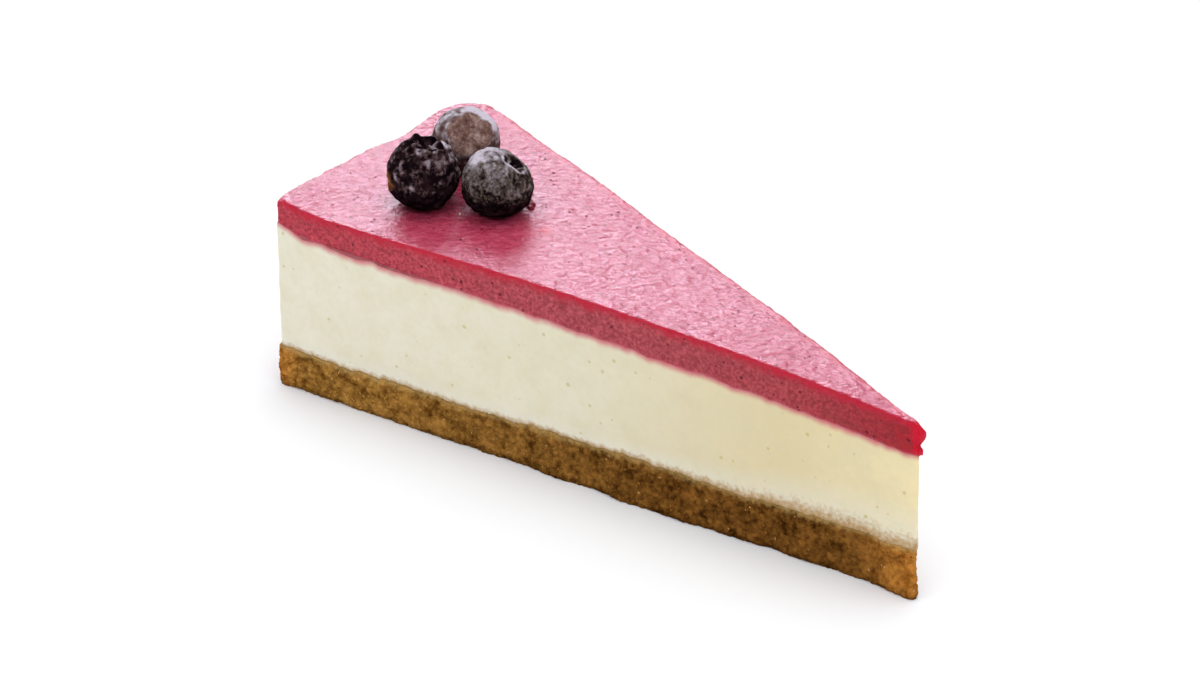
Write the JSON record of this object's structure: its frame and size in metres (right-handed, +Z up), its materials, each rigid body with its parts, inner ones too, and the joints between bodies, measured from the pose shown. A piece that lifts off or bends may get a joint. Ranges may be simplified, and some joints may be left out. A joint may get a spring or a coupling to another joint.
{
  "type": "forest fruit cheesecake slice",
  "caption": "Wedge slice of cheesecake with a biscuit crumb base, pale cheese filling, pink fruit mousse and frosted blueberries.",
  "frame": {"origin": "on the table under the middle of the slice", "axes": "+X along the slice from the rim to the tip, +Y towards the far cut, +Z up"},
  "size_m": [0.1412, 0.0558, 0.054],
  "materials": {
    "biscuit_crumb": "baked biscuit crumb, dry and grainy",
    "cheese_filling": "smooth moist cheese filling, soft satin",
    "fruit_mousse": "moist fruit mousse, finely bumpy, satin sheen",
    "blueberry_skin": "dark berry skin with pale frost"
  },
  "bodies": {
    "root": {"biscuit_base": "biscuit_crumb", "cheese_filling": "cheese_filling", "fruit_mousse": "fruit_mousse", "blueberry_left": "blueberry_skin", "blueberry_right": "blueberry_skin", "blueberry_back": "blueberry_skin"}
  },
  "joints": []
}
